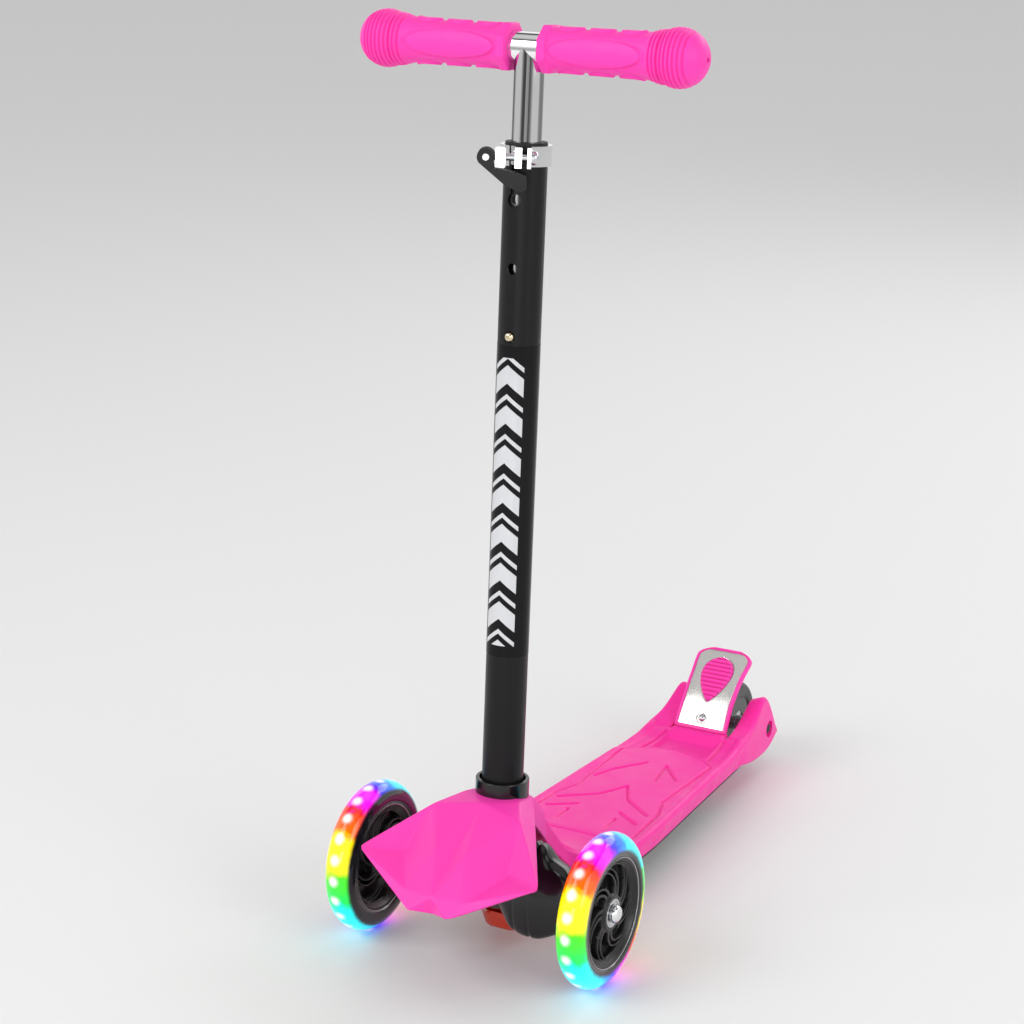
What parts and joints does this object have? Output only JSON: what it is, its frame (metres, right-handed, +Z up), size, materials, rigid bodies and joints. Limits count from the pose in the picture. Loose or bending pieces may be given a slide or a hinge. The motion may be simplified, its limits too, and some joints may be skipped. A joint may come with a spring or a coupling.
{
  "type": "kick scooter",
  "caption": "Child's lean-to-steer kick scooter with light-up front wheels, small rear wheel and foot brake, faceted front cover and a height-adjustable T-bar with ball-ended grips.",
  "frame": {"origin": "on the ground, under the middle of the scooter's box", "axes": "+Z up; the scooter rolls towards -Y; +X is the rider's left"},
  "size_m": [0.2786, 0.5927, 0.7114],
  "materials": {
    "pink_plastic": "satin gloss",
    "black_plastic": "satin",
    "cradle_plastic": "satin",
    "black_paint": "satin powder coat",
    "chrome": "polished",
    "steel": "zinc plated",
    "polished_steel": "polished",
    "brass": "polished",
    "copper_coil": "lacquered winding",
    "soft_grip": "matte",
    "buffer_rubber": "matte",
    "light_tyre": "clear glossy",
    "light_strip": "clear",
    "rear_tyre": "satin"
  },
  "bodies": {
    "deck": {"deck": "pink_plastic", "front_cover": "pink_plastic", "deck_underside": "black_plastic", "deck_screws": "steel", "steering_head": "black_plastic", "pivot_cradle": "cradle_plastic", "pivot_pin": "steel", "pivot_nut": "steel", "lean_buffers": "buffer_rubber", "stem_tube": "black_paint", "stem_bush": "black_plastic", "stem_collar": "black_plastic", "stem_bolt": "steel", "clamp_band": "chrome", "clamp_bolt": "steel", "clamp_nut": "steel", "clamp_saddle": "chrome", "rear_axle": "steel", "rear_spacers": "steel", "brake_pin": "steel", "brake_spring": "steel"},
    "truck": {"truck": "black_plastic", "axle_bolt_left": "chrome", "axle_bolt_right": "chrome", "generator_magnet_left": "steel", "generator_magnet_right": "steel"},
    "rear_wheel": {"rear_tyre": "rear_tyre", "rear_hub": "black_plastic", "rear_bearings": "steel"},
    "brake": {"brake_carrier": "pink_plastic", "brake_plate": "polished_steel", "brake_pad": "soft_grip", "brake_rivet": "chrome"},
    "handlebar": {"t_bar": "chrome", "post_sleeve": "black_plastic", "snap_spring": "steel", "grip_left": "soft_grip", "grip_right": "soft_grip"},
    "snap_button": {"snap_button": "brass"},
    "clamp_lever": {"clamp_lever": "black_plastic", "lever_pin": "steel"},
    "front_wheel_left": {"tyre_left": "light_tyre", "light_ring_left": "light_strip", "hub_left": "black_plastic", "wheel_bearings_left": "steel", "generator_coil_left": "copper_coil"},
    "front_wheel_right": {"tyre_right": "light_tyre", "light_ring_right": "light_strip", "hub_right": "black_plastic", "wheel_bearings_right": "steel", "generator_coil_right": "copper_coil"}
  },
  "joints": [
    {"name": "lean_steer", "type": "hinge", "parent": "deck", "child": "truck", "pos_m": [0, -0.19765, 0.06], "axis": [0, -0.7071, 0.7071], "range_deg": [-10, 10], "stiffness_Nm_per_rad": 60, "deforming": ["lean_buffers"]},
    {"name": "rear_wheel_spin", "type": "hinge", "parent": "deck", "child": "rear_wheel", "pos_m": [0, 0.25735, 0.039], "axis": [1, 0, 0], "continuous": true},
    {"name": "brake_press", "type": "hinge", "parent": "deck", "child": "brake", "pos_m": [0, 0.19635, 0.0455], "axis": [-1, 0, 0], "range_deg": [0, 12], "stiffness_Nm_per_rad": 1.2, "springref_deg": -8.59, "deforming": ["brake_spring"]},
    {"name": "handlebar_height", "type": "slide", "parent": "deck", "child": "handlebar", "axis": [0, 0.0429, 0.9991], "range_m": [0, 0.1], "deforming": ["snap_button", "snap_spring"]},
    {"name": "snap_button_press", "type": "slide", "parent": "handlebar", "child": "snap_button", "axis": [0, 0.9991, -0.0429], "range_m": [0, 0.0072], "stiffness_N_per_m": 800, "springref_m": -0.003, "deforming": ["snap_spring"]},
    {"name": "clamp_lever_open", "type": "hinge", "parent": "deck", "child": "clamp_lever", "pos_m": [-0.01416, -0.19512, 0.61553], "axis": [-0.4384, 0.898, -0.0386], "range_deg": [0, 115]},
    {"name": "front_wheel_left_spin", "type": "hinge", "parent": "truck", "child": "front_wheel_left", "pos_m": [0.1, -0.20765, 0.06], "axis": [1, 0, 0], "continuous": true},
    {"name": "front_wheel_right_spin", "type": "hinge", "parent": "truck", "child": "front_wheel_right", "pos_m": [-0.1, -0.20765, 0.06], "axis": [1, 0, 0], "continuous": true}
  ]
}
